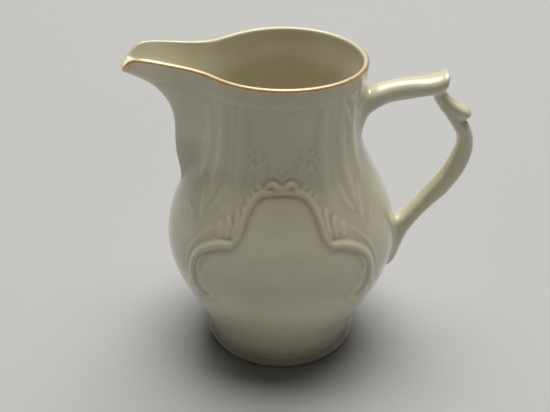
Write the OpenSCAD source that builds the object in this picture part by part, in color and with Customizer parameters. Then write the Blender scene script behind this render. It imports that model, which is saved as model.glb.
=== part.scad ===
// Porcelain cream jug: a slip-cast body with a drawn spout, on a foot ring,
// with a scrolled handle luted on at two slip joints and a gilt line on the rim.
// The origin is the centre of the foot on the table. +Z is up, the spout points
// along -X and the handle along +X.

/* [Body] */
// Height of the rim at the handle
rim_h = 100; // [92:1:110]
// Radius of the belly at its widest
belly_r = 37.2; // [35.6:0.2:38.6]
// Radius of the neck at its narrowest
neck_r = 23.9; // [23:0.1:24.6]
// Radius of the mouth at the rim
mouth_r = 25.2; // [24.4:0.1:26]
// Thickness of the cast wall
wall = 2.5; // [2.2:0.1:2.8]
// Thickness of the wall at the lip
lip_wall = 1.7; // [1.5:0.1:1.9]

/* [Foot] */
// Outside radius of the foot ring
foot_r = 25.6; // [24.8:0.1:26]
// Height of the foot ring
foot_h = 5; // [4.5:0.1:5.5]
// Width of the ring's base
foot_w = 4.4; // [3.8:0.1:5]

/* [Spout] */
// Distance from the axis to the spout's tip
spout_reach = 47.8; // [46.4:0.2:49.2]
// Half the width of the spout's trough at the rim
spout_half_w = 9.3; // [8.7:0.1:9.7]
// Rise of the spout's two edges above the rim
edge_rise = 3.4; // [3:0.1:3.8]
// Drop of the tip, taken from the risen edges
tip_drop = 5.5; // [5:0.1:6]

/* [Handle] */
// Distance from the axis to the outside of the handle
handle_reach = 60; // [58.5:0.5:62]
// Width of the handle, as a share of the drawn width
handle_breadth = 1; // [0.85:0.05:1.15]

/* [Gilding] */
// Thickness that the gold band is drawn at
gilt_t = 0.15; // [0.1:0.05:0.3]

/* [Hidden] */

COLUMNS = 80;          // vertical lines of points round the body
CROWDING = 0.62;       // how much the columns crowd towards the spout
OUTER_RINGS = 26;      // levels up the outside of the wall
INNER_RINGS = 18;      // levels down its inside
LIP_STEPS = 5;         // steps over the top of the lip
HANDLE_SIDES = 20;     // points round the handle's section
STEPS = 4;             // rings of a sweep between two of its stations
STEP_BACK = 0.02;      // step for slopes taken by difference
floor_h = foot_h + 3;  // height of the floor inside
floor_turn = 6;        // height over which the floor turns up into the wall
mouth_shift = 0.7;     // the mouth sits this far towards the handle
mouth_squeeze = 0.065; // share by which the drawn spout pulls the mouth in at its sides
rim_saddle = 0.5;      // the rim rises this far at those sides
lip_base = rim_h - lip_wall / 2;
lift_from = 0.8 * rim_h;

// Outline of the outside, as height and radius
PROFILE = [
    [foot_h, foot_r - 0.8],
    [0.12 * rim_h, 0.725 * belly_r],
    [0.20 * rim_h, 0.830 * belly_r],
    [0.30 * rim_h, 0.952 * belly_r],
    [0.40 * rim_h, belly_r],
    [0.50 * rim_h, 0.953 * belly_r],
    [0.60 * rim_h, 0.838 * belly_r],
    [0.72 * rim_h, neck_r + 1.7],
    [0.84 * rim_h, neck_r],
    [rim_h, mouth_r]
];

// How far the spout is pulled from the round neck, as height and share
PULL = [
    [0.575 * rim_h, 0],
    [0.61 * rim_h, 0.06],
    [0.65 * rim_h, 0.17],
    [0.69 * rim_h, 0.28],
    [0.73 * rim_h, 0.345],
    [0.77 * rim_h, 0.375],
    [0.81 * rim_h, 0.395],
    [0.85 * rim_h, 0.43],
    [0.89 * rim_h, 0.485],
    [0.93 * rim_h, 0.59],
    [0.96 * rim_h, 0.715],
    [lip_base, 1]
];

// Half the width of the spout, as height and share of its width at the rim
WIDTH = [
    [0.575 * rim_h, 0.10],
    [0.63 * rim_h, 0.20],
    [0.68 * rim_h, 0.32],
    [0.75 * rim_h, 0.50],
    [0.82 * rim_h, 0.77],
    [0.90 * rim_h, 0.95],
    [rim_h, 1]
];

// Smooth curve through the points of a list of [x, y], read at x
function slope(c, i) =
    let (a = c[max(i - 1, 0)], b = c[min(i + 1, len(c) - 1)])
    (b[1] - a[1]) / (b[0] - a[0]);
function span(c, x, i = 0) =
    i >= len(c) - 2 || x < c[i + 1][0] ? i : span(c, x, i + 1);
function curve(c, x) =
    let (i = span(c, x), h = c[i + 1][0] - c[i][0], t = (x - c[i][0]) / h)
    c[i][1] * (2 * pow(t, 3) - 3 * t * t + 1) + c[i + 1][1] * (3 * t * t - 2 * pow(t, 3))
    + h * slope(c, i) * (pow(t, 3) - 2 * t * t + t) + h * slope(c, i + 1) * (pow(t, 3) - t * t);
function ease(t) = let (s = min(max(t, 0), 1)) s * s * (3 - 2 * s);
function unit(v) = v / norm(v);

// The round body, and the spout's pull from it, at a level h above the table
function radius(h) = curve(PROFILE, h);
function pull(h) =
    h <= PULL[0][0] ? 0 : curve(PULL, h) * (spout_reach + mouth_shift - mouth_r - 1.1);
function keel(h) = radius(h) + pull(h);
function lift(h) = ease((h - lift_from) / (rim_h - lift_from));
function half_width(h) = spout_half_w * curve(WIDTH, max(h, WIDTH[0][0]));
function bluntness(h) = 3 + 3.7 * ease((h - 0.57 * rim_h) / (0.3 * rim_h));
function thickness(h) = wall - (wall - lip_wall) * ease((h - 0.88 * rim_h) / (0.1 * rim_h));

// Share of the pull at a distance y from the spout's centre plane
function share(y, h, w) = 1 / (1 + pow(abs(y) / w, bluntness(h)));

// The spout's edges rise, and its tip dips between them
function rise(y, h, w, s) =
    (edge_rise * share(y, h, 1.06 * w) - tip_drop * pow(s, 11)) * lift(h);

// A point of the body's outside, at an angle a from the spout and a level h
function outer_point(a, h) =
    let (r = radius(h), y = r * sin(a), w = half_width(h), s = cos(a) > 0 ? share(y, h, w) : 0)
    [mouth_shift * lift(h) - r * cos(a) - pull(h) * s,
     -y * (1 - mouth_squeeze * lift(h) * (1 - s)),
     h + (cos(a) > 0 ? rise(y, h, w, s) : 0)
     + rim_saddle * pow(sin(a), 2) * lift(h) * (1 - s)];

// Slope of a function of k, read with a step either side
function lean(f) = (f(1) - f(-1)) / (2 * STEP_BACK);

// Low down the inside lies the wall's thickness in, square to the neck and to the keel
function inner_low(a, h) =
    let (t = thickness(h),
         sr = lean(function (k) radius(h + k * STEP_BACK)),
         sk = lean(function (k) keel(h + k * STEP_BACK)),
         dr = sqrt(1 + sr * sr), dk = sqrt(1 + sk * sk),
         r = radius(h) - t / dr,
         w = max(half_width(h) - 0.8 * t, 0.5 * half_width(h)),
         y = r * sin(a), s = cos(a) > 0 ? share(y, h, w) : 0,
         reach = max(keel(h) - t / dk, r))
    [mouth_shift * lift(h) - r * cos(a) - (reach - r) * s, -y, h + t * sr / dr];

// Higher up it lies the wall's thickness in, square to the outside everywhere
function inner_high(a, h) =
    let (round = outer_point(a + 0.2, h) - outer_point(a - 0.2, h),
         up = outer_point(a, h + STEP_BACK) - outer_point(a, h - STEP_BACK))
    outer_point(a, h) - thickness(h) * unit(cross(round, up));

function inner_point(a, h) =
    let (m = ease((h / rim_h - 0.76) / 0.14))
    (1 - m) * inner_low(a, h) + m * inner_high(a, h);

// The floor inside is a shallow bowl that turns up into the wall
function bowl_point(a, t) =
    let (top = inner_point(a, floor_h + floor_turn), s = sin(90 * t))
    [top[0] * s, top[1] * s, floor_h + (top[2] - floor_h) * (1 - cos(90 * t))];

// Over the lip, b runs from 0 outside to 180 inside
function lip_point(a, b, grow = 0) =
    let (o = outer_point(a, lip_base), i = inner_point(a, lip_base),
         c = (o + i) / 2, r = norm(o - i) / 2, out = unit(o - i),
         up = unit(o - outer_point(a, lip_base - 0.2)))
    c + (r + grow) * (out * cos(b) + up * sin(b));

function column_angle(j) =
    let (u = 360 * j / COLUMNS) u - CROWDING * 180 / PI * sin(u);
function ring(f) = [for (j = [0 : COLUMNS - 1]) f(column_angle(j))];
function flat(lists) = [for (l = lists) each l];
function reversed(l) = [for (i = [len(l) - 1 : -1 : 0]) l[i]];

// A closed solid through a list of rings that all have the same number of points
function cap(first, n) = [for (j = [0 : n - 1]) first + j];
module stack(rings) {
    n = len(rings[0]);
    last = len(rings) - 1;
    sides = [
        for (k = [0 : last - 1], j = [0 : n - 1])
            [k * n + j, (k + 1) * n + j, (k + 1) * n + (j + 1) % n, k * n + (j + 1) % n]
    ];
    polyhedron(flat(rings), concat([cap(0, n)], sides, [reversed(cap(last * n, n))]));
}

// Levels bunch towards the lip, where the spout turns outwards
function level(k, count, low, high) =
    low + (high - low) * (1 - pow(1 - k / count, 1.6));

outer_rings = [
    for (k = [0 : OUTER_RINGS])
        let (h = level(k, OUTER_RINGS, foot_h, lip_base)) ring(function (a) outer_point(a, h))
];
lip_rings = [
    for (k = [1 : LIP_STEPS - 1]) ring(function (a) lip_point(a, 180 * k / LIP_STEPS))
];
inner_rings = [
    for (k = [INNER_RINGS : -1 : 0])
        let (h = level(k, INNER_RINGS, floor_h + floor_turn, lip_base)) ring(function (a) inner_point(a, h))
];
bowl_rings = [
    for (t = [0.8, 0.6, 0.4, 0.2]) ring(function (a) bowl_point(a, t))
];

// The cast wall: up the outside, over the lip, down the inside and across the floor
module body_shell() {
    color("ivory") stack(concat(outer_rings, lip_rings, inner_rings, bowl_rings));
}

// The body filled solid, to trim the slip joints to its surface
module body_mass() {
    stack(outer_rings);
}

// The foot ring, a hollow turned ring that flares to a rounded tread
module foot_ring() {
    edge = 0.5;
    tread = 0.9;
    color("ivory") rotate_extrude($fn = 96) polygon(concat(
        [[foot_r - 0.8, foot_h], [foot_r - 0.85, 0.74 * foot_h], [foot_r - 0.6, 0.5 * foot_h]],
        [for (b = [0 : -18 : -90]) [foot_r - edge + edge * cos(b), tread + tread * sin(b)]],
        [[foot_r - foot_w + 0.5, 0], [foot_r - foot_w, 0.6], [foot_r - foot_w - 0.4, foot_h]]
    ));
}

// A smooth path through the list p, at t from 0 to len(p) - 1
function along(p, t) =
    let (i = min(floor(t), len(p) - 2), f = t - i, a = p[max(i - 1, 0)], b = p[i],
         c = p[i + 1], d = p[min(i + 2, len(p) - 1)])
    0.5 * (2 * b + (c - a) * f + (2 * a - 5 * b + 4 * c - d) * f * f
           + (3 * b - a - 3 * c + d) * pow(f, 3));

// One section of the handle: a rounded oblong between its outer and inner edge.
// A station holds x and z of the outer edge, x and z of the inner one, and half the width.
function oblong(c) = sign(c) * pow(abs(c), 0.85);
function section(s) = [
    for (j = [0 : HANDLE_SIDES - 1])
        let (b = 360 * j / HANDLE_SIDES, u = oblong(cos(b)), v = oblong(sin(b)))
        [(s[0] + s[2]) / 2 + (s[0] - s[2]) / 2 * u, -s[4] * v,
         (s[1] + s[3]) / 2 + (s[1] - s[3]) / 2 * u]
];
module sweep(p, from, to) {
    count = STEPS * (to - from);
    stack([for (k = [0 : count]) section(along(p, from + k / STEPS))]);
}
function stations(list) = [
    for (s = list)
        [s[0] * handle_reach / 60, s[1] * rim_h / 100, s[2] * handle_reach / 60,
         s[3] * rim_h / 100, s[4] * handle_breadth]
];

// From inside the neck, out along the top arm, to the end of the thumb rest
TOP_ARM = stations([
    [20.5, 93.5, 20.5, 71.5, 7.8], [24.0, 90.6, 24.3, 76.2, 5.4], [25.9, 90.0, 26.3, 81.4, 4.5],
    [28.6, 91.0, 30.2, 84.7, 4.1], [33.0, 92.4, 33.9, 86.2, 3.8], [38.3, 93.4, 39.1, 87.2, 3.9],
    [43.0, 93.8, 43.8, 88.2, 4.2], [45.8, 94.5, 46.8, 89.0, 4.5], [47.6, 95.2, 48.4, 89.7, 4.5],
    [48.8, 95.7, 49.4, 90.8, 4.3], [49.7, 95.6, 49.8, 92.0, 3.5], [50.0, 95.0, 50.0, 93.3, 2.0]
]);
UPPER_SEAM = 3;
// The short scroll behind the thumb rest, which ends in a knuckle
KNUCKLE = stations([
    [48.7, 90.5, 46.7, 86.5, 2.6], [50.7, 88.0, 48.8, 84.8, 3.0], [52.9, 86.2, 51.1, 82.8, 3.4],
    [55.0, 85.1, 53.0, 81.4, 3.7], [56.7, 84.2, 55.0, 80.5, 3.7], [57.7, 83.1, 56.6, 80.6, 3.0],
    [58.0, 82.3, 57.6, 81.2, 1.7]
]);
// From behind the thumb rest, down the long arm, to the tail on the belly
LONG_ARM = stations([
    [48.4, 91.5, 44.4, 89.7, 3.0], [49.6, 88.4, 46.3, 86.8, 3.0], [51.0, 86.0, 48.2, 83.7, 3.1],
    [53.2, 83.4, 50.5, 80.8, 3.2], [56.2, 80.4, 52.6, 77.6, 3.3], [58.8, 76.6, 54.3, 74.8, 3.3],
    [59.9, 71.4, 54.8, 71.3, 3.3], [59.5, 66.4, 54.0, 67.9, 3.3], [58.0, 61.6, 52.4, 64.0, 3.4],
    [55.9, 57.6, 50.7, 60.5, 3.4], [53.2, 53.4, 48.3, 57.0, 3.4], [50.0, 49.9, 45.7, 53.3, 3.4],
    [47.0, 46.4, 43.0, 49.4, 3.4], [44.5, 42.8, 40.1, 45.5, 3.4], [42.4, 39.2, 37.0, 42.4, 3.7],
    [40.9, 35.4, 34.5, 38.5, 3.9], [39.9, 31.6, 33.5, 34.0, 3.6], [39.0, 28.2, 32.5, 29.2, 2.9],
    [37.6, 25.2, 31.0, 26.4, 2.1], [34.6, 23.4, 29.5, 24.8, 1.2]
]);
LOWER_SEAM = 12;

// Resizing by nothing keeps every size and joins the children into one mesh
module one_mesh() {
    resize([0, 0, 0]) children();
}

// The handle as cast: the top arm with its thumb rest, the short scroll and the long arm
module handle() {
    color("ivory") one_mesh() union() {
        sweep(TOP_ARM, UPPER_SEAM, len(TOP_ARM) - 1);
        sweep(KNUCKLE, 0, len(KNUCKLE) - 1);
        sweep(LONG_ARM, 0, LOWER_SEAM);
    }
}

// The flare of slip between the top arm and the neck
module upper_handle_joint() {
    color("ivory") one_mesh() difference() {
        sweep(TOP_ARM, 0, UPPER_SEAM);
        body_mass();
    }
}

// The flare of slip, with its tail, between the long arm and the belly
module lower_handle_joint() {
    color("ivory") one_mesh() difference() {
        sweep(LONG_ARM, LOWER_SEAM, len(LONG_ARM) - 1);
        body_mass();
    }
}

// The gold line: a thin band over the lip, from its outside to just short of its top
module rim_gilding() {
    under = [for (b = [0 : 13 : 65]) ring(function (a) lip_point(a, b))];
    over = [for (b = [65 : -13 : 0]) ring(function (a) lip_point(a, b, gilt_t))];
    band = concat(under, over);
    color("gold") polyhedron(flat(band), [
        for (k = [0 : len(band) - 1], j = [0 : COLUMNS - 1])
            let (next = (k + 1) % len(band), i = (j + 1) % COLUMNS)
            [k * COLUMNS + i, next * COLUMNS + i, next * COLUMNS + j, k * COLUMNS + j]
    ]);
}

body_shell();
foot_ring();
handle();
upper_handle_joint();
lower_handle_joint();
rim_gilding();
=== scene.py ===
# The looks of a porcelain cream jug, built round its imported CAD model.
import math

import bmesh
import bpy
import numpy as np
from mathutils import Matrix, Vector


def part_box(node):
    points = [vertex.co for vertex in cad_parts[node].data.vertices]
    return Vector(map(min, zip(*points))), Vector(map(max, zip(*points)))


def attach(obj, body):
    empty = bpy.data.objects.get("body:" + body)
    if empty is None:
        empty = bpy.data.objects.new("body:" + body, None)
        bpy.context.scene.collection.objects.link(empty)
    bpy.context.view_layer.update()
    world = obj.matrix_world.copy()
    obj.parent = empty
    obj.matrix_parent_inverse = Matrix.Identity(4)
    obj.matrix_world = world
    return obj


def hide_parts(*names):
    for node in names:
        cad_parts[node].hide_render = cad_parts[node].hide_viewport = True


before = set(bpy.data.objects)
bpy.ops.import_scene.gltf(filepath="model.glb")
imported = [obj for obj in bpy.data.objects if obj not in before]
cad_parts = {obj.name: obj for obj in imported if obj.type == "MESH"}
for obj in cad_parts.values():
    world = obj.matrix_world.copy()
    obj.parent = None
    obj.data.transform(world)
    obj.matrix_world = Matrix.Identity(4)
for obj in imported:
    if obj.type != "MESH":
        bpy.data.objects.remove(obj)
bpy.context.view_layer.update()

# ---------------------------------------------------------------- driving sizes

# Lengths are in millimetres until a mesh is made. The foot ring in the frame sets the scale.
FOOT_R = 25.6
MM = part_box("foot_ring")[1].x / FOOT_R
FOOT_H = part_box("foot_ring")[1].z / MM
FOOT_W = 4.4

# The body, its wall, and the floor inside, which turns up into the wall
RIM_H = 100.0
BELLY_R = 37.2
NECK_R = 23.9
MOUTH_R = 25.2
WALL = 2.5
LIP_WALL = 1.7
LIP_BASE = RIM_H - LIP_WALL / 2
FLOOR_H = FOOT_H + 3
FLOOR_TURN = 6

# The drawn spout, whose edges rise above the rim before its tip drops between them
SPOUT_REACH = 47.8
SPOUT_HALF_W = 9.3
EDGE_RISE = 3.4
EDGE_SPREAD = 1.06
TIP_DROP = 5.5
TIP_SHARPNESS = 11
TIP_ROUNDING = 1.1

# What drawing the spout does to the rest of the mouth, from this level up
LIFT_FROM = 0.8 * RIM_H
MOUTH_SHIFT = 0.7
MOUTH_SQUEEZE = 0.065
RIM_SADDLE = 0.5

# Outline of the outside, as height and radius
PROFILE = [
    (FOOT_H, FOOT_R - 0.8),
    (12, 0.725 * BELLY_R),
    (20, 0.830 * BELLY_R),
    (30, 0.952 * BELLY_R),
    (40, BELLY_R),
    (50, 0.953 * BELLY_R),
    (60, 0.838 * BELLY_R),
    (72, NECK_R + 1.7),
    (84, NECK_R),
    (RIM_H, MOUTH_R),
]
# How far the spout is pulled from the round neck, as height and share
PULL = [
    (57.5, 0), (61, 0.06), (65, 0.17), (69, 0.28), (73, 0.345), (77, 0.375),
    (81, 0.395), (85, 0.43), (89, 0.485), (93, 0.59), (96, 0.715), (LIP_BASE, 1),
]
# Half the width of the spout, as height and share of its width at the rim
WIDTH = [(57.5, 0.10), (63, 0.20), (68, 0.32), (75, 0.50), (82, 0.77), (90, 0.95), (RIM_H, 1)]

# ---------------------------------------------------------------- curves and fields


def curve(points, x):
    """The smooth curve through points of (x, y), read at x."""
    px, py = np.array(points, float).T
    count = np.arange(len(px))
    before = np.maximum(count - 1, 0)
    after = np.minimum(count + 1, len(px) - 1)
    slope = (py[after] - py[before]) / (px[after] - px[before])
    i = np.clip(np.searchsorted(px, x, side="right") - 1, 0, len(px) - 2)
    gap = px[i + 1] - px[i]
    t = (x - px[i]) / gap
    ends = py[i] * (2 * t**3 - 3 * t**2 + 1) + py[i + 1] * (3 * t**2 - 2 * t**3)
    return ends + gap * (slope[i] * (t**3 - 2 * t**2 + t) + slope[i + 1] * (t**3 - t**2))


def through(points, t):
    """The smooth path through a list of points, at t from 0 to its length less one."""
    p = np.array(points, float)
    t = np.asarray(t, float)
    last = len(p) - 1
    i = np.clip(np.floor(t).astype(int), 0, last - 1)
    f = (t - i)[..., None]
    a, b = p[np.maximum(i - 1, 0)], p[i]
    c, d = p[i + 1], p[np.minimum(i + 2, last)]
    bend = (2 * a - 5 * b + 4 * c - d) * f**2 + (3 * b - a - 3 * c + d) * f**3
    return 0.5 * (2 * b + (c - a) * f + bend)


def ease(t):
    """A smooth step from 0 to 1."""
    s = np.clip(t, 0, 1)
    return s * s * (3 - 2 * s)


def unit(v):
    """Vectors brought to a length of 1."""
    return v / np.linalg.norm(v, axis=-1, keepdims=True)


def smooth_min(a, b, k):
    """The lower of two distances, rounded over where they differ by less than k."""
    h = np.maximum(k - np.abs(a - b), 0) / k
    return np.minimum(a, b) - h * h * k / 4


# ---------------------------------------------------------------- shape of the body

# Step for slopes that are taken by difference
STEP = 0.02


def radius(h):
    """Radius of the round body at a level."""
    return curve(PROFILE, h)


def pull(h):
    """How far the spout's keel is pulled out from the round body at a level."""
    reach = SPOUT_REACH + MOUTH_SHIFT - MOUTH_R - TIP_ROUNDING
    return np.where(h <= PULL[0][0], 0, curve(PULL, h)) * reach


def keel(h):
    """Distance of the spout's keel from the axis at a level."""
    return radius(h) + pull(h)


def lift(h):
    """How much of the mouth's changes has come in at a level, from 0 to 1."""
    return ease((h - LIFT_FROM) / (RIM_H - LIFT_FROM))


def half_width(h):
    """Half the width of the spout at a level."""
    return SPOUT_HALF_W * curve(WIDTH, np.maximum(h, WIDTH[0][0]))


def thickness(h):
    """Thickness of the wall at a level, which thins towards the lip."""
    return WALL - (WALL - LIP_WALL) * ease((h - 0.88 * RIM_H) / (0.1 * RIM_H))


def share(y, h, w):
    """The spout's share of its pull at a distance y from its centre plane, blunter higher up."""
    bluntness = 3 + 3.7 * ease((h - 0.57 * RIM_H) / (0.3 * RIM_H))
    return 1 / (1 + (np.abs(y) / w) ** bluntness)


def outer_point(a, h):
    """A point of the smooth outside, at an angle a from the spout and a level h."""
    a, h = np.broadcast_arrays(np.asarray(a, float), np.asarray(h, float))
    r, w, front = radius(h), half_width(h), np.cos(a) > 0
    y = r * np.sin(a)
    s = np.where(front, share(y, h, w), 0)
    rise = (EDGE_RISE * share(y, h, EDGE_SPREAD * w) - TIP_DROP * s**TIP_SHARPNESS) * lift(h)
    x = MOUTH_SHIFT * lift(h) - r * np.cos(a) - pull(h) * s
    beside = lift(h) * (1 - s)
    y = y * (1 - MOUTH_SQUEEZE * beside)
    z = h + np.where(front, rise, 0) + RIM_SADDLE * np.sin(a) ** 2 * beside
    return np.stack([x, -y, z], -1)


def outer_normal(a, h):
    """The direction square to the smooth outside."""
    turn = outer_point(a + 0.003, h) - outer_point(a - 0.003, h)
    climb = outer_point(a, h + STEP) - outer_point(a, h - STEP)
    return unit(np.cross(turn, climb))


def inner_point(a, h):
    """The inside, the wall's thickness in. Low down it is taken square to the neck and to the
    keel, and higher up square to the outside everywhere."""
    a, h = np.broadcast_arrays(np.asarray(a, float), np.asarray(h, float))
    t = thickness(h)
    lean_r = (radius(h + STEP) - radius(h - STEP)) / (2 * STEP)
    lean_k = (keel(h + STEP) - keel(h - STEP)) / (2 * STEP)
    r = radius(h) - t / np.hypot(1, lean_r)
    w = np.maximum(half_width(h) - 0.8 * t, 0.5 * half_width(h))
    y = r * np.sin(a)
    s = np.where(np.cos(a) > 0, share(y, h, w), 0)
    reach = np.maximum(keel(h) - t / np.hypot(1, lean_k), r)
    x = MOUTH_SHIFT * lift(h) - r * np.cos(a) - (reach - r) * s
    low = np.stack([x, -y, h + t * lean_r / np.hypot(1, lean_r)], -1)
    high = outer_point(a, h) - t[..., None] * outer_normal(a, h)
    m = ease((h / RIM_H - 0.76) / 0.14)[..., None]
    return (1 - m) * low + m * high


def lip_point(a, b, grow=0.0):
    """Over the lip, b runs from 0 outside to half a turn inside, and grow stands off the clay."""
    o, i = outer_point(a, LIP_BASE), inner_point(a, LIP_BASE)
    middle = (o + i) / 2
    r = np.linalg.norm(o - i, axis=-1, keepdims=True) / 2
    out, up = unit(o - i), unit(o - outer_point(a, LIP_BASE - 0.2))
    return middle + (r + grow) * (out * math.cos(b) + up * math.sin(b))


# ---------------------------------------------------------------- relief on the body

# The relief is the same on the front and on the back, and mirrored about the middle of each.
# A stroke's points are (level, degrees from that middle), wide is half its width, and high is how
# far it stands out. start and end are the shares of its length over which it grows and fades.


def taper(t, start, end):
    """Rises over a share of a stroke's length at its start and falls over one at its end."""
    rise = np.clip(t / max(start, 1e-6), 0, 1)
    fall = np.clip((1 - t) / max(end, 1e-6), 0, 1)
    return np.sqrt(np.sin(rise * math.pi / 2) * np.sin(fall * math.pi / 2))


def stroke(points, wide, high, start=0.3, end=0.3, inner=1.0, mirrored=False):
    """A raised line. inner scales its width on one side, and mirrored says that it crosses over
    the middle, so that its mirror image is drawn across it."""
    return {"points": points, "wide": wide, "high": high, "start": start, "end": end,
            "inner": inner, "mirrored": mirrored}


def leaflet(level, degrees, heading, long, wide, high):
    """A small leaf from a point, along a heading in degrees from straight up."""
    h = math.radians(heading)
    tip_level = level + long * math.cos(h)
    tip_degrees = degrees + math.degrees(long * math.sin(h) / float(radius(level)))
    middle = ((level + tip_level) / 2 + 0.1 * long * math.sin(h), (degrees + tip_degrees) / 2)
    return stroke([(level, degrees), middle, (tip_level, tip_degrees)], wide, high, 0.55, 0.6)


STROKE_STEPS = 8
NARROWEST = 0.35


def raise_stroke(s, level, degrees):
    """How high one stroke stands at each point."""
    drawn = np.array(s["points"], float)
    count = STROKE_STEPS * (len(drawn) - 1) + 1
    path = through(drawn, np.linspace(0, len(drawn) - 1, count))
    widest = s["wide"] * max(s["inner"], 1)
    margin = math.degrees(widest / NECK_R)
    near = (level > path[:, 0].min() - widest) & (level < path[:, 0].max() + widest)
    near &= (degrees > path[:, 1].min() - margin) & (degrees < path[:, 1].max() + margin)
    found = np.zeros(level.shape)
    if not near.any():
        return found
    z, f = level[near], np.radians(degrees[near])
    lean = (radius(z + STEP) - radius(z - STEP)) / (2 * STEP)
    du = radius(z)[:, None] * (f[:, None] - np.radians(path[:, 1])[None])
    dv = (z[:, None] - path[:, 0][None]) * np.hypot(1, lean)[:, None]
    ahead_u, ahead_v = du[:, :-1] - du[:, 1:], dv[:, :-1] - dv[:, 1:]
    size = ahead_u**2 + ahead_v**2 + 1e-12
    along = np.clip((du[:, :-1] * ahead_u + dv[:, :-1] * ahead_v) / size, 0, 1)
    away_u, away_v = du[:, :-1] - along * ahead_u, dv[:, :-1] - along * ahead_v
    away = np.hypot(away_u, away_v)
    best = away.argmin(1)
    row = np.arange(len(z))
    t = (best + along[row, best]) / (count - 1)
    left = ahead_u[row, best] * away_v[row, best] - ahead_v[row, best] * away_u[row, best] > 0
    size = taper(t, s["start"], s["end"])
    half = s["wide"] * np.where(left, s["inner"], 1) * (NARROWEST + (1 - NARROWEST) * size)
    fall = 0.5 + 0.5 * np.cos(math.pi * np.clip(away[row, best] / half, 0, 1))
    found[near] = s["high"] * size * fall
    return found


# The frame of the panel: an arch, and a C scroll below it on each side
FRAME = [
    stroke([(69.7, -2), (69.7, 2), (69.6, 6), (69.1, 11), (68.0, 14.8), (66.0, 17.8), (63.6, 19.8),
            (61.0, 21.1), (58.6, 22.0), (56.2, 23.0), (54.5, 24.9), (53.6, 27.6)],
           1.25, 0.64, 0.03, 0.2, 1.6, mirrored=True),
    stroke([(54.6, 24.4), (53.7, 26.0), (53.4, 28.4), (53.1, 31.0), (52.3, 34.4), (50.9, 38.4),
            (49.2, 42.2), (46.2, 45.6), (42.6, 47.2), (38.8, 47.2), (35.6, 45.6), (33.5, 42.6),
            (32.8, 39.0), (33.8, 36.2), (35.6, 35.6), (36.8, 37.0), (36.2, 39.0)],
           1.55, 0.76, 0.2, 0.7, 1.6),
    stroke([(57.2, 37.0), (56.0, 40.2), (53.6, 44.4), (50.4, 48.2), (46.8, 50.8), (42.6, 51.8),
            (38.6, 51.4)], 1.0, 0.24, 0.5, 0.5),
    stroke([(48.6, 39.0), (46.6, 42.2), (43.8, 43.4), (41.6, 42.2), (41.8, 39.8), (43.4, 39.2)],
           1.0, 0.36, 0.4, 0.4),
]
# Leaves at the crest of the arch, at its feet and round its scrolls
LEAVES = [
    stroke([(70.4, -0.5), (70.8, 0), (70.4, 0.5)], 1.4, 0.7, 0.3, 0.3),
    stroke([(69.8, 1.6), (71.3, 3.8), (71.6, 6.8), (70.4, 10.4)], 1.5, 1.05, 0.25, 0.6,
           mirrored=True),
    stroke([(72.0, 0), (74.4, 0), (77.6, 0)], 1.0, 0.28, 0.4, 0.8),
    stroke([(72.8, 1.6), (74.6, 3.4), (75.0, 6.0), (73.8, 8.2)], 1.0, 0.28, 0.3, 0.7,
           mirrored=True),
    stroke([(56.4, 26.0), (57.6, 31.0), (56.6, 37.0)], 4.4, 0.3, 0.5, 0.7),
    stroke([(55.6, 26.6), (58.6, 25.0), (61.6, 24.9), (64.0, 26.4)], 1.7, 0.62, 0.3, 0.7),
    stroke([(55.4, 29.4), (57.9, 28.7), (60.0, 29.8), (61.2, 32.0)], 1.7, 0.56, 0.3, 0.7),
    stroke([(54.9, 32.6), (56.9, 32.8), (58.3, 34.4), (58.7, 36.8)], 1.6, 0.46, 0.3, 0.7),
    stroke([(38.4, 48.2), (35.8, 50.2), (33.2, 50.4), (31.0, 48.8)], 1.4, 0.34, 0.3, 0.7),
    stroke([(34.4, 46.0), (31.8, 46.8), (29.2, 46.0), (27.6, 43.8)], 1.4, 0.34, 0.3, 0.7),
    stroke([(32.4, 42.2), (30.0, 41.8), (28.0, 40.0), (27.2, 37.4)], 1.3, 0.3, 0.3, 0.7),
    stroke([(60.6, 45.4), (62.6, 41.8), (65.2, 39.6), (68.6, 39.2)], 2.0, 0.24, 0.4, 0.6),
    stroke([(58.0, 48.6), (61.4, 49.4), (64.4, 51.8), (66.4, 55.4)], 2.0, 0.24, 0.4, 0.6),
    stroke([(55.0, 52.6), (57.4, 55.6), (58.4, 59.4), (58.0, 63.0)], 1.8, 0.24, 0.4, 0.6),
]
# Small leaves along the outer side of the arch
EDGE_LEAVES = [
    leaflet(69.4, 12.2, 58, 3.0, 1.0, 0.34),
    leaflet(67.4, 16.0, 40, 3.2, 1.0, 0.36),
    leaflet(64.8, 18.8, 26, 3.4, 1.1, 0.38),
    leaflet(61.8, 20.8, 18, 3.4, 1.1, 0.36),
]
# A small curved spray on each side of the crest
SPRAY = [
    stroke([(73.4, 11.4), (76.4, 12.4), (78.6, 14.8), (79.4, 18.0), (78.6, 21.6), (76.4, 24.6),
            (73.4, 26.4)], 0.8, 0.26, 0.2, 0.4),
    leaflet(77.0, 12.8, -24, 3.2, 1.0, 0.26),
    leaflet(78.8, 15.4, 8, 3.2, 1.0, 0.26),
    leaflet(79.4, 18.4, 40, 3.2, 1.0, 0.26),
    leaflet(78.4, 21.8, 72, 3.2, 1.0, 0.24),
    leaflet(77.6, 15.2, 144, 3.4, 1.1, 0.26),
    leaflet(78.0, 19.2, 172, 3.2, 1.1, 0.26),
]
# Soft upright ribs that run down the neck on to the shoulder
RIBS = [
    stroke([(82, 15.2), (77, 15.4), (71, 15.8)], 1.5, 0.16, 0.5, 0.5),
    stroke([(94, 28.4), (85, 28.6), (76, 29.0), (67, 29.4)], 2.8, 0.38, 0.5, 0.5),
    stroke([(93, 44.6), (84, 45.6), (75, 46.8), (66, 47.6), (61, 48.0)], 3.0, 0.34, 0.5, 0.5),
    stroke([(92, 58.0), (84, 59.4), (75, 61.0), (67, 62.2)], 3.0, 0.34, 0.5, 0.6),
]
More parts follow.
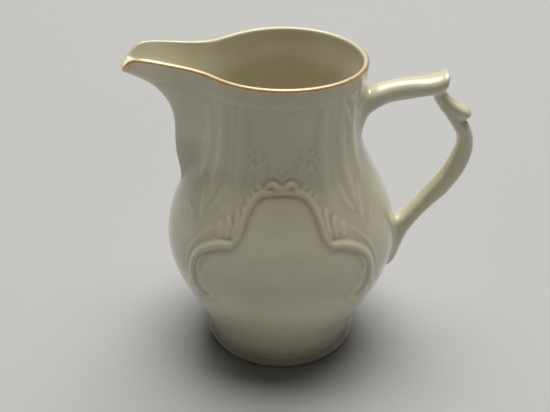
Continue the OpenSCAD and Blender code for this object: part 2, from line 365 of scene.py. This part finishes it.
# Veins that spread from the root of the handle, in degrees from the handle
VEINS = [
    stroke([(96.6, 48.6), (94.6, 47.6), (91.6, 44.0), (87.0, 36.8), (82.0, 30.4), (76.0, 28.2),
            (70.0, 27.4)], 1.35, 0.32, 0.25, 0.6),
    stroke([(90.0, 28.0), (85.0, 22.0), (79.0, 17.0), (72.0, 13.5), (65.0, 12.0)],
           1.2, 0.18, 0.3, 0.7),
]
# The soft bead that runs round under the rim
BEAD_AT = 95.2
BEAD_HIGH = 0.13
# Strokes that cross are blended as the root of a sum of this power
BLEND_POWER = 4
# The relief dies away over this many half widths of the spout
SPOUT_CALM = 1.25
# Depth below the relief round it at which a hollow gets its full painted shade, which also stands
# for glaze pooled there
HOLLOW_DEPTH = 0.2


def relief(a, h):
    """How far the relief stands out at an angle a from the spout and a level h."""
    folded = np.abs(np.degrees(a) % 180 - 90)
    total = np.zeros(h.shape)
    for s in FRAME + LEAVES + EDGE_LEAVES + SPRAY + RIBS:
        total += raise_stroke(s, h, folded) ** BLEND_POWER
        if s["mirrored"]:
            total += raise_stroke(s, h, -folded) ** BLEND_POWER
    spout_side = np.cos(a) > 0
    calm = 1 - share(radius(h) * np.sin(a), h, SPOUT_CALM * half_width(h))
    calm = np.where(spout_side & (h > PULL[0][0]), calm, 1)
    total = total ** (1 / BLEND_POWER) * calm
    from_handle = np.abs(np.degrees(a) - 180)
    veins = sum(raise_stroke(s, h, from_handle) ** BLEND_POWER for s in VEINS)
    veins = veins ** (1 / BLEND_POWER)
    bead = BEAD_HIGH * ease((h - BEAD_AT + 1.8) / 1.4) * (1 - ease((h - BEAD_AT) / 3))
    return np.maximum(total, np.where(spout_side, 0, veins)) + bead


def hollows(high):
    """How deep each place of a grid of heights lies below the relief round it, from 0 to 1, which
    sets the painted shade in the hollows.
    """
    around = high
    for _ in range(10):
        around = (np.roll(around, 1, 1) + 2 * around + np.roll(around, -1, 1)) / 4
        edged = np.concatenate([around[:1], around, around[-1:]])
        around = (edged[:-2] + 2 * edged[1:-1] + edged[2:]) / 4
    return np.clip((around - high) / HOLLOW_DEPTH, 0, 1)


# ---------------------------------------------------------------- meshes


def evenly(density, count, low, high):
    """count places from low to high, closer together where the density is greater."""
    x = np.linspace(low, high, 4001)
    total = np.concatenate([[0], np.cumsum((density(x[1:]) + density(x[:-1])) / 2)])
    return np.interp(np.linspace(0, total[-1], count), total, x)


def column_angles(count):
    """Angles round the body that share out both the rim's length and the belly's."""
    fine = np.linspace(0, 2 * math.pi, 7201)
    rim = np.linalg.norm(np.diff(outer_point(fine, LIP_BASE), axis=0), axis=1)
    belly = np.full(len(rim), 1 / len(rim))
    total = np.concatenate([[0], np.cumsum(0.5 * rim / rim.sum() + 0.5 * belly)])
    return np.interp(np.arange(count) / count, total, fine)


def join_rings(rings, closed_ends=True, closed_loop=False):
    """Vertices and faces of a skin through rings of points, capped by a point at each end."""
    n, count = len(rings[0]), len(rings)
    vertices = np.concatenate(rings)
    j = np.arange(n)
    after = (j + 1) % n
    faces = []
    for k in range(count if closed_loop else count - 1):
        low, high = k * n, (k + 1) % count * n
        faces += np.stack([low + j, low + after, high + after, high + j], 1).tolist()
    if closed_ends and not closed_loop:
        first, last = len(vertices), len(vertices) + 1
        vertices = np.concatenate([vertices, [rings[0].mean(0)], [rings[-1].mean(0)]])
        top = (count - 1) * n
        faces += [[first, int(b), int(a)] for a, b in zip(j, after)]
        faces += [[last, int(top + a), int(top + b)] for a, b in zip(j, after)]
    return vertices, faces


# How finely the body is meshed, and how far its underside is domed inside the foot ring
COLUMNS = 430
OUTER_ROWS = 168
LIP_ROWS = 11
INNER_ROWS = 34
UNDER_ROWS = 7
FLOOR_ROWS = 7
UNDER_DOME = 0.7


def body_mesh():
    """The cast body: its underside, the outside with its relief, the lip and the inside. The
    attribute that it carries marks the relief's hollows, where the glaze colour is darkened:
    painted shade, partly glaze pooled there."""
    a = column_angles(COLUMNS)
    levels = evenly(lambda h: 1 + 0.7 * ease((h - 24) / 8) + 0.5 * ease((h - 84) / 8),
                    OUTER_ROWS, FOOT_H, LIP_BASE)
    grid_a, grid_h = np.meshgrid(a, levels)
    high = relief(grid_a, grid_h)
    outside = outer_point(grid_a, grid_h) + high[..., None] * outer_normal(grid_a, grid_h)
    edge = outer_point(a, FOOT_H)
    under = []
    for t in np.linspace(0.06, 1, UNDER_ROWS, endpoint=False):
        ring = edge * [t, t, 1]
        ring[:, 2] += UNDER_DOME * (1 - t**2)
        under.append(ring)
    lip = [lip_point(a, b) for b in np.linspace(0, math.pi, LIP_ROWS + 2)[1:-1]]
    low = FLOOR_H + FLOOR_TURN
    inner_levels = evenly(lambda h: 1 + 1.5 * ease((h - 80) / 12), INNER_ROWS, low, LIP_BASE)
    inside = [inner_point(a, h) for h in inner_levels[::-1]]
    top = inner_point(a, low)
    floor = []
    for t in np.linspace(1, 0.05, FLOOR_ROWS + 1)[1:]:
        ring = top * [math.sin(t * math.pi / 2), math.sin(t * math.pi / 2), 1]
        ring[:, 2] = FLOOR_H + (top[:, 2] - FLOOR_H) * (1 - math.cos(t * math.pi / 2))
        floor.append(ring)
    vertices, faces = join_rings(under + list(outside) + lip + inside + floor)
    pooled_and_shaded = np.zeros(len(vertices))
    # Painted shade: how deep each place of the outside lies in a hollow of the relief
    pooled_and_shaded[UNDER_ROWS * COLUMNS:(UNDER_ROWS + OUTER_ROWS) * COLUMNS] = hollows(high).ravel()
    mesh = smooth_mesh(vertices, faces)
    mesh.attributes.new("hollow", "FLOAT", "POINT").data.foreach_set("value", pooled_and_shaded)
    return sharpen(mesh, COLUMNS, UNDER_ROWS * COLUMNS)


FOOT_COLUMNS = 256


def foot_outline():
    """The turned foot ring's section, from its top outside round to its top inside."""
    edge, tread = 0.5, 0.9
    cove = [(FOOT_R - 0.8, FOOT_H), (FOOT_R - 1.08, FOOT_H - 1.0), (FOOT_R - 1.22, FOOT_H - 1.8),
            (FOOT_R - 1.08, FOOT_H - 2.4), (FOOT_R - 0.55, FOOT_H - 3.0)]
    rounded = [(FOOT_R - edge + edge * math.cos(b), tread - tread * math.sin(b))
               for b in np.linspace(0, math.pi / 2, 8)]
    inside = [(FOOT_R - FOOT_W + 0.7, 0), (FOOT_R - FOOT_W + 0.15, 0.25),
              (FOOT_R - FOOT_W - 0.05, 0.8), (FOOT_R - FOOT_W - 0.4, FOOT_H)]
    upper = through(cove + [rounded[0]], np.linspace(0, len(cove), 4 * len(cove) + 1))
    return np.concatenate([upper, rounded[1:], inside])


def foot_mesh():
    """The foot ring, turned about the upright axis."""
    turn = np.linspace(0, 2 * math.pi, FOOT_COLUMNS, endpoint=False)
    rings = [np.stack([r * np.cos(turn), r * np.sin(turn), np.full(FOOT_COLUMNS, z)], 1)
             for r, z in foot_outline()[::-1]]
    mesh = smooth_mesh(*join_rings(rings, closed_loop=True))
    return sharpen(mesh, FOOT_COLUMNS, 0, (len(rings) - 1) * FOOT_COLUMNS)


# The gold stands this far off the clay, from below the lip's rounding to near its top, and
# its hidden side is sunk a little into the clay
GILT_T = 0.06
GILT_EDGE_T = 0.3 * GILT_T
GILT_SUNK = 0.02
GILT_BELOW = 0.3
GILT_TO = math.radians(80)
GILT_ROWS = 12


def gilding_mesh():
    """The gold line: a thin band over the outer side of the lip, thinner at its two edges."""
    a = column_angles(COLUMNS)
    turns = np.linspace(0, GILT_TO, GILT_ROWS)
    low, out = outer_point(a, LIP_BASE - GILT_BELOW), outer_normal(a, LIP_BASE - 0.2)
    under = [low - GILT_SUNK * out] + [lip_point(a, b, -GILT_SUNK) for b in turns]
    over = [low + GILT_EDGE_T * out] + [lip_point(a, b, GILT_T) for b in turns[:-1]]
    over.append(lip_point(a, GILT_TO, GILT_EDGE_T))
    return join_rings(over + under[::-1], closed_loop=True)


# ---------------------------------------------------------------- the handle

# A station of an arm holds x and z of its outer edge, x and z of its inner one, and half its
# width. The arms are blended into one another and into the body as distances on a grid.
TOP_ARM = [
    (20.5, 93.5, 20.5, 71.5, 7.8), (24.0, 90.6, 24.3, 76.2, 5.4), (25.9, 90.0, 26.3, 81.4, 4.5),
    (28.6, 91.0, 30.2, 84.7, 4.1), (33.0, 92.4, 33.9, 86.2, 3.8), (38.3, 93.4, 39.1, 87.2, 3.9),
    (43.0, 93.8, 43.8, 88.2, 4.2), (45.8, 94.5, 46.8, 89.0, 4.5), (47.6, 95.2, 48.4, 89.7, 4.5),
    (48.8, 95.7, 49.4, 90.8, 4.3), (49.7, 95.6, 49.8, 92.0, 3.5), (50.0, 95.0, 50.0, 93.3, 2.0),
]
UPPER_SEAM = 3
KNUCKLE = [
    (48.7, 90.5, 46.7, 86.5, 2.6), (50.7, 88.0, 48.8, 84.8, 3.0), (52.9, 86.2, 51.1, 82.8, 3.4),
    (55.0, 85.1, 53.0, 81.4, 3.7), (56.7, 84.2, 55.0, 80.5, 3.7), (57.7, 83.1, 56.6, 80.6, 3.0),
    (58.0, 82.3, 57.6, 81.2, 1.7),
]
LONG_ARM = [
    (48.4, 91.5, 44.4, 89.7, 3.0), (49.6, 88.4, 46.3, 86.8, 3.0), (51.0, 86.0, 48.2, 83.7, 3.1),
    (53.2, 83.4, 50.5, 80.8, 3.2), (56.2, 80.4, 52.6, 77.6, 3.3), (58.8, 76.6, 54.3, 74.8, 3.3),
    (59.9, 71.4, 54.8, 71.3, 3.3), (59.5, 66.4, 54.0, 67.9, 3.3), (58.0, 61.6, 52.4, 64.0, 3.4),
    (55.9, 57.6, 50.7, 60.5, 3.4), (53.2, 53.4, 48.3, 57.0, 3.4), (50.0, 49.9, 45.7, 53.3, 3.4),
    (47.0, 46.4, 43.0, 49.4, 3.4), (44.5, 42.8, 40.1, 45.5, 3.4), (42.4, 39.2, 37.0, 42.4, 3.7),
    (40.9, 35.4, 34.5, 38.5, 3.9), (39.9, 31.6, 33.5, 34.0, 3.6), (39.0, 28.2, 32.5, 29.2, 2.9),
    (37.6, 25.2, 31.0, 26.4, 2.1), (34.6, 23.4, 29.5, 24.8, 1.2),
]
LOWER_SEAM = 12
# The power of an arm's section, where 2 would make it an ellipse
ROUNDNESS = 2 / 0.85
# The grid that the handle is worked out on
VOXEL = 0.32
GRID_LOW = np.array([19.2, 0.0, 15.7])
GRID_HIGH = np.array([61.5, 12.8, 99.3])
# How widely the arms melt into one another and into the body, how far the flare round a joint
# stays above the body, how deep it is sunk into it, and how far it spreads from the arm
ARM_BLEND = 1.3
BODY_BLEND = 3.4
UNDER_SKIN = 0.03
BURIED = 1.3
SKIRT = 4.4
# A distance that is past anything on the grid
FAR = 1e3
ARM_STEPS = 12


def section_distance(u, reach, y, wide):
    """How far a point lies outside a rounded section, along a line from its middle."""
    size = (np.abs(u) ** ROUNDNESS + np.abs(y / wide) ** ROUNDNESS) ** (1 / ROUNDNESS)
    away = np.hypot(u * reach, y)
    return away - away / np.maximum(size, 1e-6)


def ahead_of(points, middle, edge):
    """How far points on the middle plane lie ahead of a section, times the section's length."""
    off = points - middle
    return off[..., 0] * edge[1] - off[..., 1] * edge[0]


def arm_distance(stations, x, y, z):
    """About how far each point of a grid lies outside an arm."""
    last = len(stations) - 1
    s = through(stations, np.linspace(0, last, ARM_STEPS * last + 1))
    middle, edge, wide = (s[:, 0:2] + s[:, 2:4]) / 2, (s[:, 0:2] - s[:, 2:4]) / 2, s[:, 4]
    flat = np.stack(np.meshgrid(x, z, indexing="ij"), -1)
    across = np.full(flat.shape[:2], FAR)
    reach, half = np.ones(across.shape), np.ones(across.shape)
    for i in range(len(s) - 1):
        here = ahead_of(flat, middle[i], edge[i])
        there = ahead_of(flat, middle[i + 1], edge[i + 1])
        between = (here < 0) != (there < 0)
        f = np.where(between, here / np.where(between, here - there, 1), 0)[..., None]
        m = middle[i] + f * (middle[i + 1] - middle[i])
        e = edge[i] + f * (edge[i + 1] - edge[i])
        size = (e**2).sum(-1)
        u = ((flat - m) * e).sum(-1) / size
        nearer = between & (np.abs(u) < np.abs(across))
        across = np.where(nearer, u, across)
        reach = np.where(nearer, np.sqrt(size), reach)
        half = np.where(nearer, wide[i] + f[..., 0] * (wide[i + 1] - wide[i]), half)
    y = y[None, :, None]
    distance = section_distance(across[:, None], reach[:, None], y, half[:, None])
    for end, sign in ((0, -1), (-1, 1)):
        size = np.linalg.norm(edge[end])
        past = sign * ahead_of(flat, middle[end], edge[end])[:, None] / size
        u = ((flat - middle[end]) @ edge[end] / size**2)[:, None]
        beside = np.maximum(section_distance(u, size, y, wide[end]), 0)
        distance = np.minimum(distance, np.where(past > 0, np.hypot(beside, past), FAR))
    return distance


def body_distance(x, y, z):
    """About how far each point of a grid lies outside the body, on the handle's side."""
    level = z[None, None, :]
    drawn = y[None, :, None] / (1 - MOUTH_SQUEEZE * lift(level))
    away = np.hypot(x[:, None, None] - MOUTH_SHIFT * lift(level), drawn)
    lean = (radius(level + STEP) - radius(level - STEP)) / (2 * STEP)
    return (away - radius(level)) / np.hypot(1, lean)


def handle_field():
    """The handle's grid: its lowest corner, and the distance outside the handle at each point."""
    x, y, z = (np.arange(a, b, VOXEL) for a, b in zip(GRID_LOW, GRID_HIGH))
    top, knuckle, long = (arm_distance(s, x, y, z) for s in (TOP_ARM, KNUCKLE, LONG_ARM))
    arms = smooth_min(smooth_min(top, long, ARM_BLEND), knuckle, ARM_BLEND)
    body = body_distance(x, y, z)
    field = smooth_min(arms, body + UNDER_SKIN, BODY_BLEND)
    field = np.maximum(np.maximum(field, -BURIED - body), arms - SKIRT)
    low = np.array([x[0], -y[-1], z[0]])
    return low, np.concatenate([field[:, :0:-1], field], 1)


def read_field(low, field, points):
    """The field at any points, between those of its grid."""
    place = np.clip((points - low) / VOXEL, 0, np.array(field.shape) - 1.001)
    i = np.floor(place).astype(int)
    f = place - i
    total = np.zeros(len(points))
    for corner in np.ndindex(2, 2, 2):
        weight = np.prod(np.where(corner, f, 1 - f), axis=1)
        total += weight * field[tuple((i + corner).T)]
    return total


def field_slope(low, field, points):
    """Which way the field rises at any points, and how fast."""
    steps = np.eye(3) * VOXEL / 2
    rise = [read_field(low, field, points + s) - read_field(low, field, points - s) for s in steps]
    return np.stack(rise, 1) / VOXEL


def skin_of(low, field):
    """The surface where the field is nought: a vertex in each cell that it passes through."""
    inside = field < 0
    held = sum(inside[tuple(slice(c, n - 1 + c) for c, n in zip(corner, field.shape))].astype(int)
               for corner in np.ndindex(2, 2, 2))
    cells = np.argwhere((held > 0) & (held < 8))
    index = np.full(held.shape, -1)
    index[tuple(cells.T)] = np.arange(len(cells))
    total, crossings = np.zeros((len(cells), 3)), np.zeros((len(cells), 1))
    for axis in range(3):
        for corner in np.ndindex(2, 2, 2):
            if corner[axis]:
                continue
            start = np.array(corner)
            end = start + np.eye(3, dtype=int)[axis]
            a, b = field[tuple((cells + start).T)], field[tuple((cells + end).T)]
            crosses = (a < 0) != (b < 0)
            t = np.where(crosses, a / np.where(crosses, a - b, 1), 0)[:, None]
            total += np.where(crosses[:, None], start + t * (end - start), 0)
            crossings += crosses[:, None]
    points = low + VOXEL * (cells + total / crossings)
    faces = []
    for axis in range(3):
        one, two = (axis + 1) % 3, (axis + 2) % 3
        here, there = [slice(1, -1)] * 3, [slice(1, -1)] * 3
        there[axis] = slice(2, None)
        change = inside[tuple(here)].astype(int) - inside[tuple(there)].astype(int)
        for sign in (1, -1):
            spot = np.argwhere(change == sign) + 1
            corners = []
            for back_one, back_two in ((1, 1), (0, 1), (0, 0), (1, 0)):
                cell = spot.copy()
                cell[:, one] -= back_one
                cell[:, two] -= back_two
                corners.append(index[tuple(cell.T)])
            faces.append(np.stack(corners[::sign], 1))
    return points, np.concatenate(faces)


def seam_plane(station):
    """A point of the plane through a station, and the direction ahead of it along the arm."""
    middle = Vector(((station[0] + station[2]) / 2, 0, (station[1] + station[3]) / 2))
    return middle, Vector((station[1] - station[3], 0, station[2] - station[0])).normalized()


def part_mesh(skin, faces, field):
    """A closed mesh of some of the skin's faces, with flat caps over its cuts."""
    part = skin.copy()
    part.faces.ensure_lookup_table()
    keep = {f.index for f in faces}
    bmesh.ops.delete(part, geom=[f for f in part.faces if f.index not in keep], context="FACES")
    for f in part.faces:
        f.smooth = True
    cut = [e for e in part.edges if e.is_boundary]
    caps = bmesh.ops.holes_fill(part, edges=cut, sides=0)["faces"]
    for f in caps:
        f.smooth = False
        for e in f.edges:
            e.smooth = False
    bmesh.ops.recalc_face_normals(part, faces=part.faces)
    mesh = bpy.data.meshes.new("part")
    part.to_mesh(mesh)
    part.free()
    points = np.array([v.co for v in mesh.vertices])
    normals = unit(field_slope(*field, points))
    loops = np.empty((len(mesh.loops), 3))
    for f in mesh.polygons:
        for i in f.loop_indices:
            loops[i] = normals[mesh.loops[i].vertex_index] if f.use_smooth else f.normal
    mesh.normals_split_custom_set(loops.tolist())
    mesh.transform(((MM, 0, 0, 0), (0, MM, 0, 0), (0, 0, MM, 0), (0, 0, 0, 1)))
    return mesh


# A level between the two joints, and a distance from the axis that both seams lie within
MID_GAP = 62
SEAMS_WITHIN = 50
SETTLE_ROUNDS = 4
SETTLE_SHARE = 0.9


def handle_pieces(material):
    """The handle and its two joints, cut from one skin so that they meet without a step."""
    field = handle_field()
    points, faces = skin_of(*field)
    for _ in range(SETTLE_ROUNDS):
        slope = field_slope(*field, points)
        size = np.maximum((slope**2).sum(1, keepdims=True), 0.1)
        points = points - SETTLE_SHARE * read_field(*field, points)[:, None] * slope / size
    skin = bmesh.new()
    verts = [skin.verts.new(p) for p in points]
    for f in faces:
        skin.faces.new([verts[i] for i in f])
    upper, lower = seam_plane(TOP_ARM[UPPER_SEAM]), seam_plane(LONG_ARM[LOWER_SEAM])
    for (middle, ahead), above in ((upper, True), (lower, False)):
        near = [f for f in skin.faces if (f.calc_center_median().z > MID_GAP) == above
                and f.calc_center_median().x < SEAMS_WITHIN]
        near += list({e for f in near for e in f.edges}) + list({v for f in near for v in f.verts})
        bmesh.ops.bisect_plane(skin, geom=near, plane_co=middle, plane_no=ahead)
    skin.faces.index_update()
    groups = {"upper_handle_joint": [], "lower_handle_joint": [], "handle": []}
    for f in skin.faces:
        c = f.calc_center_median()
        if c.z > MID_GAP and (c - upper[0]).dot(upper[1]) < 0:
            groups["upper_handle_joint"].append(f)
        elif c.z < MID_GAP and (c - lower[0]).dot(lower[1]) > 0:
            groups["lower_handle_joint"].append(f)
        else:
            groups["handle"].append(f)
    names = {"upper_handle_joint": "neck_joint_flare", "lower_handle_joint": "belly_joint_tail",
             "handle": "scroll_handle"}
    return [place(part_mesh(skin, group, field), names[node], material, "glaze", node)
            for node, group in groups.items()]


# ---------------------------------------------------------------- materials


def shader(name):
    """A new material, its node tree's maker of nodes and of links, and its shader."""
    material = bpy.data.materials.new(name)
    material.use_nodes = True
    tree = material.node_tree
    bsdf = tree.nodes["Principled BSDF"]

    def node(kind, **settings):
        """A node, with values for its inputs or settings."""
        made = tree.nodes.new(kind)
        for key, value in settings.items():
            if key in made.inputs:
                made.inputs[key].default_value = value
            else:
                setattr(made, key, value)
        return made

    return material, node, tree.links.new, bsdf


def noise(node, link, scale, detail=2.0, rough=0.5):
    """Noise that depends on the place on the jug. scale is how many features a metre holds."""
    where = node("ShaderNodeTexCoord")
    made = node("ShaderNodeTexNoise", Scale=scale, Detail=detail, Roughness=rough)
    link(where.outputs["Object"], made.inputs["Vector"])
    return made.outputs["Fac"]


def between(node, link, value, low, high, at=(0.0, 1.0)):
    """A value brought from the range at to the range low to high, and held there."""
    made = node("ShaderNodeMapRange", clamp=True)
    link(value, made.inputs["Value"])
    for key, number in zip(("From Min", "From Max", "To Min", "To Max"), (*at, low, high)):
        made.inputs[key].default_value = number
    return made.outputs["Result"]


def blend(node, link, amount, a, b):
    """A colour between a and b, which are colours or sockets."""
    made = node("ShaderNodeMix", data_type="RGBA")
    link(amount, made.inputs["Factor"])
    for socket, value in (("A", a), ("B", b)):
        target = next(i for i in made.inputs if i.name == socket and i.type == "RGBA")
        if isinstance(value, tuple):
            target.default_value = (*value, 1)
        else:
            link(value, target)
    return next(o for o in made.outputs if o.type == "RGBA")


def bump(node, link, bsdf, heights):
    """Bump from a list of noise values with the height of each in metres."""
    normal = None
    for value, height in heights:
        made = node("ShaderNodeBump", Strength=1.0, Distance=height)
        link(value, made.inputs["Height"])
        if normal is not None:
            link(normal, made.inputs["Normal"])
        normal = made.outputs["Normal"]
    link(normal, bsdf.inputs["Normal"])
    if "Coat Normal" in bsdf.inputs:
        link(normal, bsdf.inputs["Coat Normal"])


def set_inputs(bsdf, **values):
    """Sets inputs by their names, with _ for a space."""
    for key, value in values.items():
        bsdf.inputs[key.replace("_", " ")].default_value = value


def glaze_material():
    """Ivory porcelain under a clear glossy glaze, painted darker and warmer in the relief's
    hollows: painted shade, partly glaze pooled there.
    """
    material, node, link, bsdf = shader("ivory_glaze")
    drift = between(node, link, noise(node, link, 38, 3), 0, 1, (0.3, 0.7))
    colour = blend(node, link, drift, (0.750, 0.700, 0.515), (0.810, 0.765, 0.590))
    cloud = between(node, link, noise(node, link, 260, 4, 0.6), 0, 0.22, (0.45, 0.75))
    colour = blend(node, link, cloud, colour, (0.700, 0.640, 0.475))
    # Painted shade: the hollows of the relief are darkened, partly standing for glaze pooled there
    hollow = node("ShaderNodeAttribute", attribute_name="hollow")
    pooled_and_shaded = between(node, link, hollow.outputs["Fac"], 0, 0.7)
    colour = blend(node, link, pooled_and_shaded, colour, (0.520, 0.440, 0.300))
    speck = between(node, link, noise(node, link, 1300, 0), 0, 0.35, (0.86, 0.90))
    colour = blend(node, link, speck, colour, (0.380, 0.300, 0.210))
    link(colour, bsdf.inputs["Base Color"])
    gloss = between(node, link, noise(node, link, 70, 4, 0.6), 0.14, 0.265, (0.2, 0.8))
    link(gloss, bsdf.inputs["Roughness"])
    set_inputs(bsdf, IOR=1.52, Subsurface_Weight=0.2, Subsurface_Scale=0.0015, Coat_Weight=0.4,
               Coat_Roughness=0.12)
    bsdf.inputs["Subsurface Radius"].default_value = (1.0, 0.7, 0.45)
    waves, peel = noise(node, link, 90, 1), noise(node, link, 900, 2)
    bump(node, link, bsdf, [(waves, 0.00012), (peel, 0.000012)])
    return material


def gilt_material():
    """Burnished gold, a little worn, with the glaze showing where it has rubbed thin."""
    material, node, link, bsdf = shader("rubbed_gilt")
    tone = between(node, link, noise(node, link, 300, 3), 0, 1, (0.3, 0.7))
    colour = blend(node, link, tone, (0.760, 0.500, 0.235), (0.900, 0.660, 0.385))
    rubbed = between(node, link, noise(node, link, 700, 5, 0.65), 0, 0.6, (0.60, 0.72))
    colour = blend(node, link, rubbed, colour, (0.740, 0.640, 0.470))
    link(colour, bsdf.inputs["Base Color"])
    link(between(node, link, rubbed, 0.5, 0.2), bsdf.inputs["Metallic"])
    wear = between(node, link, noise(node, link, 500, 4), 0.30, 0.46, (0.3, 0.7))
    link(wear, bsdf.inputs["Roughness"])
    bump(node, link, bsdf, [(noise(node, link, 1600, 3), 0.000012)])
    return material


def biscuit_material():
    """Bare fired porcelain on the foot's tread, a little grey from standing about."""
    material, node, link, bsdf = shader("bare_biscuit")
    grime = between(node, link, noise(node, link, 320, 5, 0.65), 0, 0.5, (0.42, 0.75))
    colour = blend(node, link, grime, (0.740, 0.700, 0.610), (0.460, 0.420, 0.360))
    link(colour, bsdf.inputs["Base Color"])
    link(between(node, link, grime, 0.62, 0.85), bsdf.inputs["Roughness"])
    bump(node, link, bsdf, [(noise(node, link, 2600, 4), 0.00003)])
    return material


def floor_material():
    """Plain pale paper, painted paler where it sweeps up: painted light that brightens the
    backdrop where the overhead light reaches it less.
    """
    material, node, link, bsdf = shader("pale_floor")
    tone = noise(node, link, 3, 2)
    colour = blend(node, link, tone, (0.460, 0.460, 0.457), (0.480, 0.480, 0.477))
    where, parts = node("ShaderNodeTexCoord"), node("ShaderNodeSeparateXYZ")
    link(where.outputs["Object"], parts.inputs["Vector"])
    # Painted light: the backdrop is made paler higher up, in place of light that reaches it less
    height = between(node, link, parts.outputs["Z"], 0, 1, (0, 0.3))
    link(blend(node, link, height, colour, (0.900, 0.900, 0.895)), bsdf.inputs["Base Color"])
    set_inputs(bsdf, Roughness=0.75)
    return material


# ---------------------------------------------------------------- pieces


def place(mesh, name, material, slot, *nodes):
    """A piece on the jug's one body, standing for its CAD nodes."""
    mesh.name = name
    mesh.materials.append(material)
    piece = bpy.data.objects.new(name, mesh)
    bpy.context.scene.collection.objects.link(piece)
    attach(piece, "root")
    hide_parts(*nodes)
    return piece


def sharpen(mesh, count, *firsts):
    """Makes sharp the edges of rings that each have count vertices, from their first ones."""
    ends = np.empty(2 * len(mesh.edges), int)
    mesh.edges.foreach_get("vertices", ends)
    rings = [((ends >= first) & (ends < first + count)).reshape(-1, 2).all(1) for first in firsts]
    mesh.edges.foreach_set("use_edge_sharp", np.any(rings, 0))
    return mesh


def smooth_mesh(vertices, faces):
    """A smooth-shaded mesh, in metres, from points in millimetres."""
    mesh = bpy.data.meshes.new("piece")
    mesh.from_pydata((np.asarray(vertices) * MM).tolist(), [], faces)
    mesh.polygons.foreach_set("use_smooth", [True] * len(mesh.polygons))
    mesh.update()
    return mesh


glaze, gilt, biscuit = glaze_material(), gilt_material(), biscuit_material()

place(body_mesh(), "relief_body", glaze, "glaze", "body_shell")
foot = place(foot_mesh(), "turned_foot", glaze, "glaze", "foot_ring")
foot.data.materials.append(biscuit)
# The tread that the jug stands on was wiped clean of glaze before firing
for face in foot.data.polygons:
    if face.normal.z < -0.9 and face.center.z < 0.2 * MM:
        face.material_index = 1
place(smooth_mesh(*gilding_mesh()), "gilt_rim_line", gilt, "gilt", "rim_gilding")
handle_pieces(glaze)

# ---------------------------------------------------------------- floor, lights and camera


FLOOR_R = 900
SWEEP_R = 600
BACKDROP_TOP = 1500
STAGE_COLUMNS = 128

SKY_AT = (0.10, 0.58, 2.00)
SKY_SIZE = 1.8
SKY_POWER = 62
SKY_COLOUR = (1.0, 0.99, 0.965)
SKY_TARGET = (0, 0, 0.05)
ROOM_COLOUR = (0.97, 0.98, 1.0, 1)
ROOM_STRENGTH = 0.03

CAMERA_AT = (-0.00195, -0.2359, 0.2025)
CAMERA_TILT = math.radians(56.72)
LENS = 56.3


def stage_ring(name, outline, material):
    """A round piece of the set, turned from an outline of (radius, height)."""
    turn = np.linspace(0, 2 * math.pi, STAGE_COLUMNS, endpoint=False)
    rings = [np.stack([r * np.cos(turn), r * np.sin(turn), np.full(STAGE_COLUMNS, z)], 1)
             for r, z in outline]
    made = bpy.data.objects.new(name, smooth_mesh(*join_rings(rings, closed_ends=False)))
    made.data.materials.append(material)
    bpy.context.scene.collection.objects.link(made)
    return made


def floor():
    """A round floor, and a backdrop that sweeps up from its edge and lights nothing itself."""
    material = floor_material()
    stage_ring("floor", [(0.01, 0), (100, 0), (400, 0), (FLOOR_R, 0)], material)
    sweep = [(FLOOR_R + SWEEP_R * math.sin(b), SWEEP_R * (1 - math.cos(b)))
             for b in np.linspace(0, math.pi / 2, 24)]
    sweep.append((FLOOR_R + SWEEP_R, BACKDROP_TOP))
    backdrop = stage_ring("backdrop", sweep, material)
    backdrop.visible_diffuse = False
    backdrop.visible_glossy = False
    backdrop.visible_shadow = False


def sky_light():
    """One big soft light above the jug and a little behind it."""
    lamp = bpy.data.lights.new("sky", "AREA")
    lamp.shape, lamp.size, lamp.energy, lamp.color = "SQUARE", SKY_SIZE, SKY_POWER, SKY_COLOUR
    made = bpy.data.objects.new("sky", lamp)
    made.location = SKY_AT
    aim = Vector(SKY_TARGET) - Vector(SKY_AT)
    made.rotation_euler = aim.to_track_quat("-Z", "Y").to_euler()
    bpy.context.scene.collection.objects.link(made)


def room():
    """A faint even light from all round."""
    world = bpy.data.worlds.new("studio")
    world.use_nodes = True
    background = world.node_tree.nodes["Background"]
    background.inputs["Color"].default_value = ROOM_COLOUR
    background.inputs["Strength"].default_value = ROOM_STRENGTH
    bpy.context.scene.world = world


def camera():
    """The camera, looking down at the front at the photograph's angle."""
    data = bpy.data.cameras.new("camera")
    data.sensor_width, data.lens, data.clip_start, data.clip_end = 36, LENS, 0.005, 20
    made = bpy.data.objects.new("camera", data)
    made.location = CAMERA_AT
    made.rotation_euler = (CAMERA_TILT, 0, 0)
    bpy.context.scene.collection.objects.link(made)
    bpy.context.scene.camera = made


floor()
sky_light()
room()
camera()
bpy.context.scene.view_settings.view_transform = "Standard"
